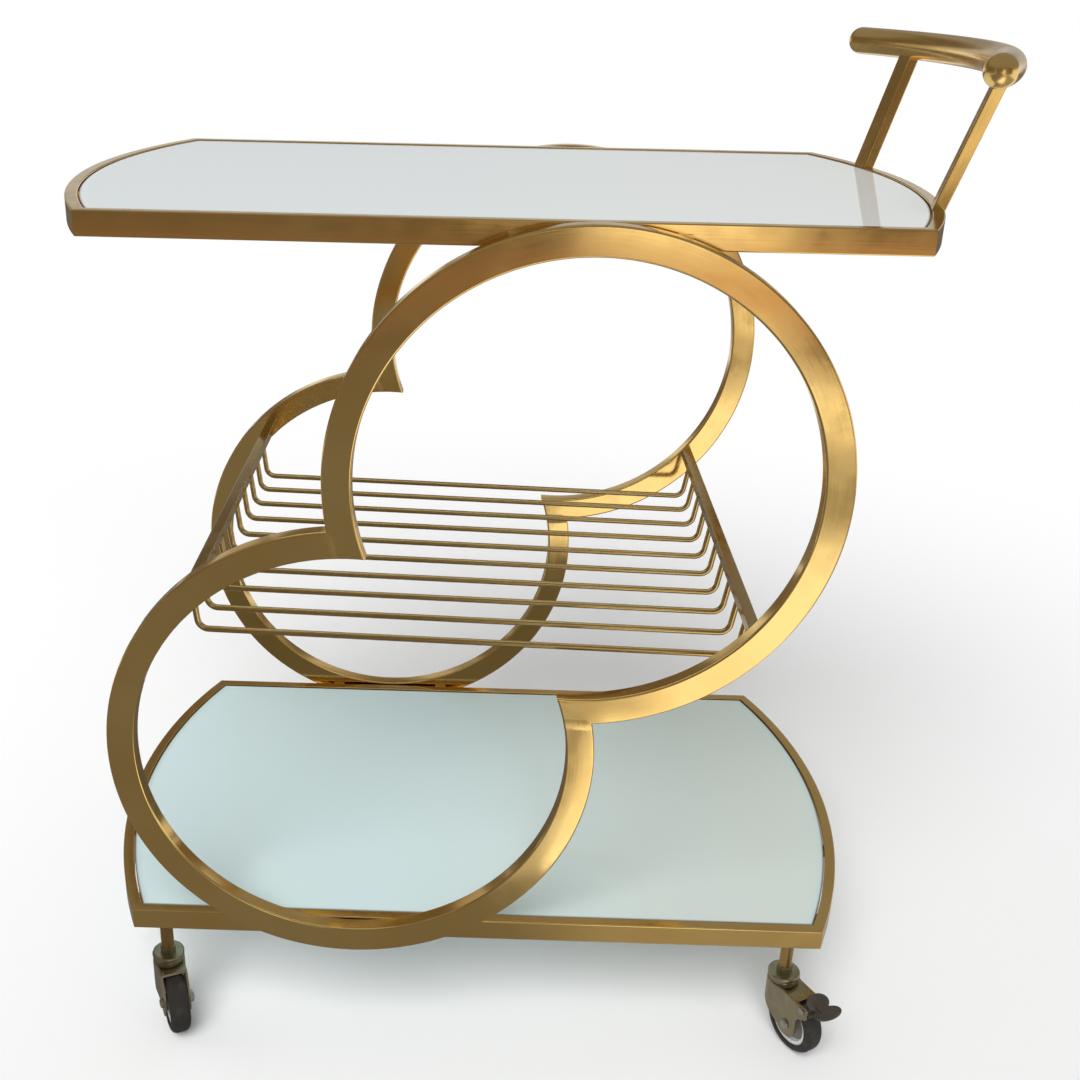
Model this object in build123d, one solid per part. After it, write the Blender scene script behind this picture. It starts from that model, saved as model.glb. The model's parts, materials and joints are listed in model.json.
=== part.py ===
"""Bar trolley: two figure-eight hoop frames carry two glass trays, a wire rack and a push handle."""
from build123d import *
import os
from math import acos, asin, atan2, cos, degrees, hypot, radians, sin, sqrt

os.makedirs("parts", exist_ok=True)

# Driving dimensions, in millimetres and degrees. +X is the handle end, -Y the front, +Z up.
# Hoop frames: rectangular tube rolled into hoops, two to a side, mitred into a figure of eight.
hoop_radius = 210.0
hoop_tube_width = 24.0
hoop_tube_depth = 15.0
hoop_wall = 1.5
hoop_edge = 1.3
hoop_step_x = 190.5
hoop_step_z = 248.0
lower_hoop_x = -113.0
lower_hoop_hang = 3.0
upper_hoop_rise = 1.0

# Trays: straight rails and bowed ends of flat tube, mitred at four corners.
tray_length = 640.0
tray_depth = 430.0
bow_rise = 47.5
rim_width = 10.0
rim_height = 20.0
rim_wall = 1.2
rim_edge = 0.8
top_tray_x = 5.0
bottom_tray_height = 112.0

# Glass, and the lugs and soft pads that it lies on.
glass_thickness = 5.0
glass_recess = 1.0
glass_gap = 1.0
glass_edge = 1.0
lug_width = 16.0
lug_reach = 14.0
lug_thickness = 3.0
rail_lug_spacing = 420.0
bow_lug_spacing = 160.0
pad_diameter = 9.0
pad_thickness = 1.5

# Tapped blocks that hold the hoops off the rims, and their bolts.
block_width = 12.5
block_thickness = 3.0
block_overlap = 5.0
block_proud = 1.0
block_spacing = 124.0
bolt_diameter = 4.0
bolt_head_diameter = 6.0
bolt_head_height = 2.5
bolt_glass_gap = 0.4
bolt_bite = 3.0

# Wire rack hung between the hoops.
rack_bar_size = 10.0
rack_bar_edge = 1.0
rack_bar_inset = 17.0
rack_left_angle = 136.0
rack_right_angle = -40.5
wire_count = 10
wire_pitch = 41.2
wire_diameter = 5.5
wire_drop = 39.0
wire_lean = 5.5
wire_bend = 10.0
wire_sides = 8

# Push handle on two flat posts.
handle_rise = 110.0
handle_overhang = 35.0
handle_radius = 410.0
handle_span = 394.0
handle_diameter = 25.0
handle_wall = 1.5
cap_plug_length = 9.0
post_spacing = 236.0
post_width = 20.0

# Corner plates and stem tubes under the bottom tray.
stem_inset_x = 25.5
stem_inset_y = 17.0
plate_thickness = 3.0
plate_leg_x = 70.0
plate_leg_y = 55.0
stem_tube_diameter = 12.0
stem_tube_bore = 8.6

# Casters: threaded stem, thrust washer, hooded fork, wheel, and a brake pedal at the handle end.
stem_diameter = 8.0
hex_size = 13.0
hex_height = 6.5
nut_height = 6.5
stem_end = 2.0
washer_diameter = 23.0
washer_thickness = 3.0
cup_diameter = 30.0
cup_wall = 2.4
cup_edge = 2.0
cup_collar_gap = 0.8
collar_diameter = 27.0
collar_height = 3.0
collar_edge = 1.2
rivet_diameter = 13.0
rivet_height = 2.5
fork_width = 30.0
fork_sheet = 2.0
fork_shoulder = 1.2
fork_skirt_drop = 18.0
cheek_width = 25.0
cheek_start = 12.0
fork_leg_radius = 12.5
fork_knee_drop = 18.0
plain_tail = 24.0
ear_margin = 6.0
ear_depth = 11.0
notch_gap = 3.0
wheel_diameter = 60.0
wheel_headroom = 2.0
wheel_trail = 22.0
tyre_width = 19.0
tyre_depth = 8.0
tyre_shoulder = 6.5
hub_rim_width = 15.0
hub_rim_depth = 3.5
hub_web_width = 6.0
hub_boss_diameter = 16.0
hub_side_gap = 0.5
axle_diameter = 6.0
axle_head_diameter = 9.5
axle_head_height = 2.5
axle_head_edge = 1.4
axle_nut_size = 10.0
axle_nut_height = 4.0
axle_end = 1.0
pedal_pin_drop = 4.5
pedal_pin_diameter = 4.0
pedal_pin_head_diameter = 7.0
pedal_pin_head_height = 1.2
pedal_barrel_diameter = 8.0
pedal_tyre_gap = 0.6
pedal_thickness = 2.6
pedal_edge = 0.8
pedal_spine_width = 12.0
inner_lobe_length = 17.0
inner_lobe_width = 24.0
inner_lobe_out = 6.5
inner_lobe_up = 11.0
inner_lobe_droop = 20.0
outer_lobe_length = 16.0
outer_lobe_width = 30.0
outer_lobe_out = 20.0
outer_lobe_up = 9.0
outer_lobe_droop = -4.0
shoe_reach = 6.5
shoe_width = 4.0
shoe_angle = 38.0

# Spare angle on rolled tube before its mitre is cut, and named clearances.
mitre_spare = 6.0
running_gap = 0.05
free_gap = 0.3
bolt_gap = 0.1

# Swivel of each caster at rest: the way its wheel trails, turned from +X about +Z.
casters = {
    "front_left": (-1, -1, -66.0, False),
    "front_right": (1, -1, -60.0, True),
    "rear_left": (-1, 1, 66.0, False),
    "rear_right": (1, 1, 60.0, True),
}

# Places that follow from the dimensions above.
lower_hoop_z = bottom_tray_height - lower_hoop_hang + hoop_radius
upper_hoop_x = lower_hoop_x + hoop_step_x
upper_hoop_z = lower_hoop_z + hoop_step_z
bottom_rim_top = bottom_tray_height + rim_height
top_rim_top = upper_hoop_z + hoop_radius - upper_hoop_rise
rail_face_y = tray_depth / 2
hoop_face_y = rail_face_y + block_thickness
hoop_plane_y = hoop_face_y + hoop_tube_depth / 2

bow_radius = (rail_face_y**2 + bow_rise**2) / (2 * bow_rise)
bow_centre_x = tray_length / 2 + bow_rise - bow_radius
bow_mid_radius = bow_radius - rim_width / 2

glass_under = glass_recess + glass_thickness
bolt_drop = lower_hoop_z - (bottom_rim_top - glass_under - bolt_glass_gap - bolt_head_diameter / 2)

handle_mid_x = top_tray_x + tray_length / 2 + bow_rise + handle_overhang
handle_centre_x = handle_mid_x - handle_radius
handle_z = top_rim_top + handle_rise

axle_z = wheel_diameter / 2
crown_under = wheel_diameter + wheel_headroom
crown_top = crown_under + fork_sheet
collar_top = crown_top + collar_height
race_top = collar_top + washer_thickness + 2 * running_gap
cup_top = race_top + cup_wall
stem_tube_under = cup_top + hex_height
plate_top = bottom_tray_height + plate_thickness
stem_x = tray_length / 2 - stem_inset_x
stem_y = rail_face_y - stem_inset_y

# The pedal's pin stands off the tyre by the pedal's barrel and a gap.
pedal_pin_z = crown_top - pedal_pin_drop
pedal_pin_reach = (wheel_diameter + pedal_barrel_diameter) / 2 + pedal_tyre_gap
pedal_pin_x = wheel_trail + sqrt(pedal_pin_reach**2 - (pedal_pin_z - axle_z) ** 2)
braked_tail = pedal_pin_x + ear_margin
braked_crown_end = pedal_pin_x - pedal_barrel_diameter / 2 - notch_gap

# The origin stands on the floor under the middle of the overall box.
left_end = min(0, top_tray_x) - tray_length / 2 - bow_rise
right_end = handle_mid_x + handle_diameter / 2
to_origin = Pos(-(left_end + right_end) / 2, 0, 0)


def write(name, *solids):
    """Move the solids into the trolley's own frame and write them as one node."""
    moved = [to_origin * solid for solid in solids]
    export_step(moved[0] if len(moved) == 1 else Compound(moved), f"parts/{name}.step")


def tube_section(width, height, wall, edge):
    """Hollow rectangular tube with its outer edges broken."""
    outer = chamfer(Rectangle(width, height).vertices(), edge)
    return outer - Rectangle(width - 2 * wall, height - 2 * wall)


def rod_y(diameter, length, x, y, z):
    """Round bar along Y, centred on a point."""
    return Pos(x, y, z) * Rot(X=90) * Cylinder(diameter / 2, length)


def upright(diameter, low, high):
    """Round bar on the Z axis between two heights."""
    return Pos(0, 0, (low + high) / 2) * Cylinder(diameter / 2, high - low)


def bolt_places(hoop_x):
    """The two bolts that join one hoop to one rail."""
    return [hoop_x - block_spacing / 2, hoop_x + block_spacing / 2]


# Hoop frames
def hoop(side, upper):
    """One hoop of a side frame, cut at the mitre that it shares with the other hoop."""
    profile = Plane.XZ * Pos(hoop_radius - hoop_tube_width / 2, 0)
    profile *= tube_section(hoop_tube_width, hoop_tube_depth, hoop_wall, hoop_edge)
    centre_x = upper_hoop_x if upper else lower_hoop_x
    centre_z = upper_hoop_z if upper else lower_hoop_z
    to_other = degrees(atan2(hoop_step_z, hoop_step_x)) + (180 if upper else 0)
    half_mouth = degrees(acos(hypot(hoop_step_x, hoop_step_z) / 2 / (hoop_radius - hoop_tube_width)))
    start = half_mouth - mitre_spare
    arc = Rot(Z=start) * revolve(profile, Axis.Z, revolution_arc=360 - 2 * start)
    ring = Pos(centre_x, side * hoop_plane_y, centre_z) * Rot(Y=-to_other) * Rot(X=90) * arc
    midpoint = ((lower_hoop_x + upper_hoop_x) / 2, 0, (lower_hoop_z + upper_hoop_z) / 2)
    mitre = Plane(midpoint, x_dir=(0, 1, 0), z_dir=(hoop_step_x, 0, hoop_step_z))
    ring = split(ring, bisect_by=mitre, keep=Keep.TOP if upper else Keep.BOTTOM)
    bolt_z = centre_z + bolt_drop if upper else centre_z - bolt_drop
    wall_y = side * (hoop_face_y + hoop_wall / 2)
    for x in bolt_places(centre_x):
        ring -= rod_y(bolt_diameter + 2 * bolt_gap, 2 * hoop_wall, x, wall_y, bolt_z)
    return ring


# Trays
def corner_plane(end, side):
    """Upright mitre plane through a tray corner, facing the straight rail."""
    outer = Vector(end * tray_length / 2, side * rail_face_y)
    inner_y = rail_face_y - rim_width
    inner_x = bow_centre_x + sqrt((bow_radius - rim_width) ** 2 - inner_y**2)
    along = Vector(end * inner_x, side * inner_y) - outer
    return Plane(outer, x_dir=along, z_dir=Vector(-along.Y, along.X) * end * -side)


def tray_rail(side, tray_x, rim_top, bolt_x, bolt_z):
    """Straight rail of a tray, with holes for the bolts that reach the hoop."""
    section = Plane.YZ * tube_section(rim_width, rim_height, rim_wall, rim_edge)
    rail = extrude(section, amount=tray_length, both=True)
    rail = Pos(0, side * (rail_face_y - rim_width / 2), 0) * rail
    for end in (-1, 1):
        rail = split(rail, bisect_by=corner_plane(end, side), keep=Keep.TOP)
    rail = Pos(tray_x, 0, rim_top - rim_height / 2) * rail
    for x in bolt_x:
        rail -= rod_y(bolt_diameter + 2 * bolt_gap, 3 * rim_width, x, side * rail_face_y, bolt_z)
    return rail


def tray_bow(end, tray_x, rim_top):
    """Bowed end of a tray, mitred to both rails."""
    half_sweep = degrees(asin(rail_face_y / bow_radius)) + mitre_spare
    profile = Plane.XZ * Pos(bow_mid_radius, 0) * tube_section(rim_width, rim_height, rim_wall, rim_edge)
    bow = revolve(profile, Axis.Z, revolution_arc=2 * half_sweep)
    bow = Pos(bow_centre_x, 0, 0) * Rot(Z=-half_sweep) * bow
    for side in (-1, 1):
        bow = split(bow, bisect_by=corner_plane(1, side), keep=Keep.BOTTOM)
    return Pos(tray_x, 0, rim_top - rim_height / 2) * Rot(Z=0 if end > 0 else 180) * bow


def rim_opening(gap):
    """Plan of the space inside a tray's rim, drawn in by a gap all round."""
    half = rail_face_y - rim_width - gap
    radius = bow_radius - rim_width - gap
    corner = bow_centre_x + sqrt(radius**2 - half**2)
    tip = bow_centre_x + radius
    outline = [
        Line((-corner, -half), (corner, -half)),
        ThreePointArc((corner, -half), (tip, 0), (corner, half)),
        Line((corner, half), (-corner, half)),
        ThreePointArc((-corner, half), (-tip, 0), (-corner, -half)),
    ]
    return make_face(Curve() + outline)


def tray_glass(tray_x, rim_top):
    """Pane with polished edges, let into the rim."""
    pane = Pos(tray_x, 0, rim_top - glass_under) * extrude(rim_opening(glass_gap), amount=glass_thickness)
    return chamfer(pane.faces().sort_by(Axis.Z)[-1].edges(), glass_edge)


def lug_spots():
    """Where the lugs stand: a place on the rim's inner face, turned so that +X points into the tray."""
    rail = rail_face_y - rim_width
    turn = degrees(asin(bow_lug_spacing / 2 / (bow_radius - rim_width)))
    spots = [Pos(x, -y, 0) * Rot(Z=turned)
             for y, turned in ((rail, 90), (-rail, -90))
             for x in (-rail_lug_spacing / 2, rail_lug_spacing / 2)]
    for end in (0, 180):
        for lean in (-turn, turn):
            along = Rot(Z=end) * Pos(bow_centre_x, 0, 0) * Rot(Z=lean)
            spots.append(along * Pos(bow_radius - rim_width, 0, 0) * Rot(Z=180))
    return spots


def tray_lugs(tray_x, rim_top):
    """Flat lugs on the inside of the rim, each with a soft pad under the glass."""
    lug_top = rim_top - glass_under - pad_thickness
    reach = 2 * lug_reach
    blank = extrude(RectangleRounded(reach, lug_width, lug_width / 4), amount=-lug_thickness)
    inside = extrude(rim_opening(0), amount=-lug_thickness)
    disc = upright(pad_diameter, 0, pad_thickness)
    lugs = [Pos(tray_x, 0, lug_top) * ((spot * blank) & inside) for spot in lug_spots()]
    pads = [Pos(tray_x, 0, lug_top) * spot * Pos(lug_reach / 2, 0, 0) * disc for spot in lug_spots()]
    return lugs, pads


# Blocks and bolts between hoops and rails
def frame_block(side, x, bolt_z, sign):
    """Tapped block on the inner face of a hoop; its long end shows past the edge of the rail."""
    tray_edge = bottom_rim_top if sign > 0 else top_rim_top - rim_height
    far = tray_edge + sign * block_proud
    near = bolt_z - sign * block_overlap
    y = side * (rail_face_y + block_thickness / 2)
    block = Pos(x, y, (far + near) / 2) * Box(block_width, block_thickness, abs(far - near))
    return block - rod_y(bolt_diameter + 2 * running_gap, 2 * block_thickness, x, y, bolt_z)


def frame_bolt(side, x, bolt_z):
    """Screw from inside the rim, through the rail and the block, into the wall of the hoop."""
    head_y = rail_face_y - rim_width
    tip_y = hoop_face_y + hoop_wall + bolt_bite
    shank = rod_y(bolt_diameter, tip_y - head_y, x, side * (tip_y + head_y) / 2, bolt_z)
    head = rod_y(bolt_head_diameter, bolt_head_height, x, side * (head_y - bolt_head_height / 2), bolt_z)
    return shank + head


# Wire rack
def rack_ends():
    """Centres of the left and right rack bars, on the hoops that carry them."""
    radius = hoop_radius - rack_bar_inset
    left, right = radians(rack_left_angle), radians(rack_right_angle)
    return (Vector(lower_hoop_x + radius * cos(left), 0, lower_hoop_z + radius * sin(left)),
            Vector(upper_hoop_x + radius * cos(right), 0, upper_hoop_z + radius * sin(right)))


def rack_bar(centre):
    """Square bar between the inner faces of the front and rear hoops."""
    section = Plane.XZ * RectangleRounded(rack_bar_size, rack_bar_size, rack_bar_edge)
    return Pos(centre.X, 0, centre.Z) * extrude(section, amount=hoop_face_y, both=True)


def rack_wires(bars):
    """Wires bent into shallow troughs, their ends welded under the two bars."""
    left, right = rack_ends()
    along = (right - left).normalized()
    down = Vector(along.Z, 0, -along.X)
    corners = [left,
               left + along * wire_lean + down * wire_drop,
               right - along * wire_lean + down * wire_drop,
               right]
    path = FilletPolyline(*corners, radius=wire_bend)
    section = RegularPolygon(wire_diameter / 2, wire_sides)
    wire = sweep(Plane(left, x_dir=(0, 1, 0), z_dir=corners[1] - left) * section, path=path)
    wire = wire - bars[0] - bars[1]
    first = -wire_pitch * (wire_count - 1) / 2
    return [Pos(0, first + i * wire_pitch, 0) * wire for i in range(wire_count)]


# Push handle
def handle_rod(section):
    """A round section carried along the bowed line of the handle."""
    half_sweep = degrees(asin(handle_span / 2 / handle_radius))
    arc = revolve(Plane.XZ * Pos(handle_radius, 0) * section, Axis.Z, revolution_arc=2 * half_sweep)
    return Pos(handle_centre_x, 0, handle_z) * Rot(Z=-half_sweep) * arc


def handle_cap(side):
    """Domed end of the handle with a plug that fits in the tube."""
    bore = handle_diameter - 2 * handle_wall
    quarter = Circle(handle_diameter / 2) & Rectangle(handle_diameter, handle_diameter, align=Align.MIN)
    dome = revolve(Plane.XZ * quarter, Axis.Z)
    plug = upright(bore - 2 * bolt_gap, -cap_plug_length, 0)
    half_sweep = degrees(asin(handle_span / 2 / handle_radius))
    end = Pos(handle_centre_x, 0, handle_z) * Rot(Z=side * half_sweep) * Pos(handle_radius, 0, 0)
    return end * Rot(X=-side * 90) * (dome + plug)


def handle_post(side):
    """Flat tube standing on the right bow, leaning out to the handle and cut to its curve."""
    angle = asin(post_spacing / 2 / bow_mid_radius)
    outward = Vector(cos(angle), side * sin(angle))
    hub = Vector(top_tray_x + bow_centre_x, 0)
    across = handle_centre_x - hub.X
    reach = across * cos(angle) + sqrt(handle_radius**2 - (across * sin(angle)) ** 2)
    foot = hub + outward * bow_mid_radius + Vector(0, 0, top_rim_top)
    head = hub + outward * reach + Vector(0, 0, handle_z)
    lean = head - foot
    overrun = lean.normalized() * rim_height
    plane = Plane(foot - overrun, x_dir=(-outward.Y, outward.X, 0), z_dir=lean)
    tube = extrude(plane * tube_section(post_width, rim_width, rim_wall, rim_edge),
                   amount=(lean + overrun).length)
    tube = split(tube, bisect_by=Plane((0, 0, top_rim_top)), keep=Keep.TOP)
    return tube - handle_rod(Circle(handle_diameter / 2))


# Caster sockets under the bottom tray
def corner_plate(end, side):
    """Gusset in a corner of the bottom rim, drilled for a caster stem."""
    inner_y = rail_face_y - rim_width
    inner_x = bow_centre_x + sqrt((bow_radius - rim_width) ** 2 - inner_y**2)
    tip_x = bow_centre_x + bow_radius
    lean = (tip_x - inner_x + plate_leg_x) / plate_leg_y
    corner = make_face(Polyline(
        (end * (inner_x - plate_leg_x - lean * rim_width), side * rail_face_y),
        (end * tip_x, side * rail_face_y),
        (end * tip_x, side * (inner_y - plate_leg_y)),
        close=True))
    plate = Pos(0, 0, bottom_tray_height) * extrude(rim_opening(0) & corner, amount=plate_thickness)
    return plate - Pos(end * stem_x, side * stem_y, 0) * upright(stem_tube_bore, 0, 2 * plate_top)


def stem_tube():
    """Short tube between the corner plate and the hexagon of the caster stem."""
    return (upright(stem_tube_diameter, stem_tube_under, bottom_tray_height)
            - upright(stem_tube_bore, 0, 2 * bottom_tray_height))


def hexagon(size, low, high):
    """Hexagonal prism with flats facing front and back."""
    return Pos(0, 0, low) * extrude(RegularPolygon(size / 2, 6, major_radius=False), amount=high - low)


def stem_nut():
    """Nut that draws the caster stem up against the corner plate."""
    nut = hexagon(hex_size, plate_top, plate_top + nut_height)
    return nut - upright(stem_diameter + 2 * running_gap, 0, 2 * plate_top)


# Casters, built with the stem on the Z axis and the wheel trailing along +X
def caster_stem():
    """Threaded stem with its hexagon, and the king pin riveted over under the fork."""
    pin_under = crown_under - free_gap
    thread = upright(stem_diameter, pin_under, plate_top + nut_height + stem_end)
    rivet = upright(rivet_diameter, pin_under - rivet_height, pin_under)
    return thread + hexagon(hex_size, cup_top, stem_tube_under) + rivet


def swivel_cup():
    """Pressed cup that covers the thrust washer, fixed to the stem."""
    shell = upright(cup_diameter, collar_top + cup_collar_gap, cup_top)
    shell = fillet(shell.edges().sort_by(Axis.Z)[-1], cup_edge)
    inside = upright(cup_diameter - 2 * cup_wall, 0, race_top)
    return shell - inside - upright(stem_diameter + 2 * running_gap, 0, 2 * cup_top)


def thrust_washer():
    """Slippery ring between the collar of the fork and the cup."""
    ring = upright(washer_diameter, race_top - washer_thickness, race_top)
    return ring - upright(stem_diameter + 2 * running_gap, 0, 2 * race_top)


def fork_side(braked):
    """Side view of a fork: hooded nose, crown, legs round the axle, and ears where a pedal is fitted."""
    nose = fork_width / 2
    back = wheel_trail + fork_leg_radius
    knee = crown_top - fork_knee_drop
    crown = [(-nose, crown_top - fork_skirt_drop), (-nose, crown_top)]
    tail = [(plain_tail, crown_top)]
    if braked:
        tail = [(braked_tail, crown_top), (braked_tail, crown_top - ear_depth)]
    slope = fork_leg_radius * sqrt(0.5)
    legs = [(back, knee), (back, axle_z), (wheel_trail - slope, axle_z - slope)]
    outline = make_face(Polyline(*crown, *tail, *legs, close=True))
    return outline + Pos(wheel_trail, axle_z) * Circle(fork_leg_radius)


def fork_plan(inset, length):
    """Plan of the fork, drawn in by an inset: round at the stem, narrowing to straight cheeks behind it."""
    radius = fork_width / 2 - inset
    cheek = cheek_width / 2 - inset
    turn = atan2(cheek, cheek_start) + acos(radius / hypot(cheek, cheek_start))
    x, y = radius * cos(turn), radius * sin(turn)
    near = [(x, -y), (cheek_start, -cheek), (length, -cheek)]
    far = [(length, cheek), (cheek_start, cheek), (x, y)]
    return make_face(Curve() + [ThreePointArc(far[-1], (-radius, 0), near[0]), Polyline(*near, *far)])


def caster_fork(braked):
    """Fork pressed from sheet: a hood round the stem with a collar on its crown, open behind and below."""
    length = braked_tail + fork_width
    body = extrude(fork_plan(0, length), amount=crown_top)
    body &= extrude(Plane.XZ * fork_side(braked), amount=fork_width, both=True)
    body = fillet(body.faces().sort_by(Axis.Z)[-1].edges(), fork_shoulder)
    body -= extrude(fork_plan(fork_sheet, length), amount=crown_under)
    collar = upright(collar_diameter, crown_under + fork_sheet / 2, collar_top)
    body += fillet(collar.edges().sort_by(Axis.Z)[-1], collar_edge)
    body -= upright(stem_diameter + 2 * running_gap, 0, 2 * crown_top)
    body -= rod_y(axle_diameter + 2 * running_gap, 2 * fork_width, wheel_trail, 0, axle_z)
    if braked:
        notch = Box(2 * fork_width, cheek_width - 2 * fork_sheet, 4 * fork_sheet,
                    align=(Align.MIN, Align.CENTER, Align.CENTER))
        body -= Pos(braked_crown_end, 0, crown_top) * notch
        body -= rod_y(pedal_pin_diameter + 2 * running_gap, 2 * fork_width, pedal_pin_x, 0, pedal_pin_z)
    return body


def caster_axle():
    """Axle bolt with a low round head, and its nut on the far cheek."""
    cheek = cheek_width / 2
    past_cheek = axle_nut_height + axle_end
    bolt = rod_y(axle_diameter, cheek_width + past_cheek, wheel_trail, past_cheek / 2, axle_z)
    head = rod_y(axle_head_diameter, axle_head_height, wheel_trail, -cheek - axle_head_height / 2, axle_z)
    head = chamfer(head.edges().sort_by(Axis.Y)[0], axle_head_edge)
    flats = extrude(RegularPolygon(axle_nut_size / 2, 6, major_radius=False), amount=axle_nut_height)
    nut = Pos(wheel_trail, cheek, axle_z) * Rot(X=-90) * flats
    return bolt + head, nut - rod_y(axle_diameter + 2 * running_gap, 4 * fork_width, wheel_trail, 0, axle_z)


def on_axle(profile):
    """Turn a profile, drawn as radius and half width, about the caster's axle."""
    return Pos(wheel_trail, 0, axle_z) * Rot(X=90) * revolve(Plane.XZ * profile, Axis.Z)


def wheel_hub():
    """Hub with a bored boss, a thin web and a raised rim that shows as a ring."""
    rim_radius = wheel_diameter / 2 - tyre_depth
    bore = axle_diameter / 2 + running_gap
    boss = hub_boss_diameter / 2
    boss_width = cheek_width - 2 * fork_sheet - 2 * hub_side_gap

    def band(low, high, width):
        return Pos((low + high) / 2, 0) * Rectangle(high - low, width)

    profile = band(bore, rim_radius, hub_web_width) + band(bore, boss, boss_width)
    return on_axle(profile + band(rim_radius - hub_rim_depth, rim_radius, hub_rim_width))


def wheel_tyre():
    """Rubber tyre with round shoulders, moulded on the hub's rim."""
    rim_radius = wheel_diameter / 2 - tyre_depth
    band = Pos(rim_radius + tyre_depth / 2, 0) * Rectangle(tyre_depth, tyre_width)
    shoulders = band.vertices().group_by(Axis.X)[-1]
    return on_axle(fillet(shoulders, tyre_shoulder))


def pedal_lobe(out, up, droop, length, width):
    """Oval foot plate of the pedal, wider than the fork and drooping away from the stem."""
    plate = extrude(Ellipse(length / 2, width / 2), amount=pedal_thickness / 2, both=True)
    rims = plate.edges().filter_by(GeomType.ELLIPSE)
    return Pos(pedal_pin_x + out, 0, pedal_pin_z + up) * Rot(Y=droop) * chamfer(rims, pedal_edge)


def pedal_bar(start, end, thickness, width):
    """Round-ended bar in the pedal's side view, from one place to another off the pin."""
    along = Vector(*end) - Vector(*start)
    middle = (Vector(*start) + Vector(*end)) / 2
    slot = SlotCenterToCenter(along.length, thickness, rotation=degrees(atan2(along.Y, along.X)))
    return Pos(pedal_pin_x, 0, pedal_pin_z) * extrude(
        Plane.XZ * Pos(middle.X, middle.Y) * slot, amount=width / 2, both=True)


def brake_pedal():
    """Rocking pedal: a barrel on its pin, two lobes to press, and a shoe that comes down to the tyre."""
    barrel_length = cheek_width - 2 * fork_sheet - 2 * free_gap
    inner = (inner_lobe_out, inner_lobe_up)
    outer = (outer_lobe_out, outer_lobe_up)
    shoe = (shoe_reach * cos(radians(shoe_angle)), -shoe_reach * sin(radians(shoe_angle)))
    pedal = rod_y(pedal_barrel_diameter, barrel_length, pedal_pin_x, 0, pedal_pin_z)
    pedal += pedal_bar((0, 0), inner, pedal_thickness, pedal_spine_width)
    pedal += pedal_bar(inner, outer, pedal_thickness, pedal_spine_width)
    pedal += pedal_bar((0, 0), shoe, shoe_width, tyre_width)
    pedal += pedal_lobe(*inner, inner_lobe_droop, inner_lobe_length, inner_lobe_width)
    pedal += pedal_lobe(*outer, outer_lobe_droop, outer_lobe_length, outer_lobe_width)
    return pedal - rod_y(pedal_pin_diameter + 2 * running_gap, 2 * fork_width, pedal_pin_x, 0, pedal_pin_z)


def pedal_pin():
    """Pin across the ears of the fork, with a low head on each side."""
    head_y = (cheek_width + pedal_pin_head_height) / 2
    pin = rod_y(pedal_pin_diameter, cheek_width, pedal_pin_x, 0, pedal_pin_z)
    for side in (-1, 1):
        pin += rod_y(pedal_pin_head_diameter, pedal_pin_head_height, pedal_pin_x, side * head_y, pedal_pin_z)
    return pin


# Frames of the two long sides
sides = {"front": -1, "rear": 1}
blocks = []
bolts = []
for name, side in sides.items():
    write(f"{name}_upper_hoop", hoop(side, True))
    write(f"{name}_lower_hoop", hoop(side, False))
    for hoop_x, bolt_z, block_up in (
        (upper_hoop_x, upper_hoop_z + bolt_drop, -1),
        (lower_hoop_x, lower_hoop_z - bolt_drop, 1),
    ):
        blocks += [frame_block(side, x, bolt_z, block_up) for x in bolt_places(hoop_x)]
        bolts += [frame_bolt(side, x, bolt_z) for x in bolt_places(hoop_x)]
write("frame_blocks", *blocks)
write("frame_bolts", *bolts)

# Trays
trays = {
    "top": (top_tray_x, top_rim_top, upper_hoop_x, upper_hoop_z + bolt_drop),
    "bottom": (0, bottom_rim_top, lower_hoop_x, lower_hoop_z - bolt_drop),
}
for tray, (tray_x, rim_top, hoop_x, bolt_z) in trays.items():
    for name, side in sides.items():
        write(f"{tray}_{name}_rail", tray_rail(side, tray_x, rim_top, bolt_places(hoop_x), bolt_z))
    for name, end in (("left", -1), ("right", 1)):
        write(f"{tray}_{name}_bow", tray_bow(end, tray_x, rim_top))
    write(f"{tray}_glass", tray_glass(tray_x, rim_top))
    lugs, pads = tray_lugs(tray_x, rim_top)
    write(f"{tray}_glass_lugs", *lugs)
    write(f"{tray}_glass_pads", *pads)

# Rack
rack_bars = [rack_bar(centre) for centre in rack_ends()]
write("rack_left_bar", rack_bars[0])
write("rack_right_bar", rack_bars[1])
write("rack_wires", *rack_wires(rack_bars))

# Handle
handle_section = Circle(handle_diameter / 2) - Circle(handle_diameter / 2 - handle_wall)
write("handle_bar", handle_rod(handle_section))
write("handle_end_caps", handle_cap(-1), handle_cap(1))
for name, side in sides.items():
    write(f"{name}_handle_post", handle_post(side))

# Sockets and casters
plates, tubes, nuts, cups, washers = [], [], [], [], []
for name, (end, side, swivel, braked) in casters.items():
    fixed = Pos(end * stem_x, side * stem_y, 0)
    turned = fixed * Rot(Z=swivel)
    plates.append(corner_plate(end, side))
    tubes.append(fixed * stem_tube())
    nuts.append(fixed * stem_nut())
    cups.append(fixed * swivel_cup())
    washers.append(fixed * thrust_washer())
    write(f"{name}_caster_stem", fixed * caster_stem())
    write(f"{name}_fork", turned * caster_fork(braked))
    write(f"{name}_axle", *[turned * piece for piece in caster_axle()])
    write(f"{name}_wheel_hub", turned * wheel_hub())
    write(f"{name}_tyre", turned * wheel_tyre())
    if braked:
        write(f"{name}_brake_pedal", turned * brake_pedal())
        write(f"{name}_pedal_pin", turned * pedal_pin())
write("caster_corner_plates", *plates)
write("caster_stem_tubes", *tubes)
write("caster_stem_nuts", *nuts)
write("caster_swivel_cups", *cups)
write("caster_thrust_washers", *washers)
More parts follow.
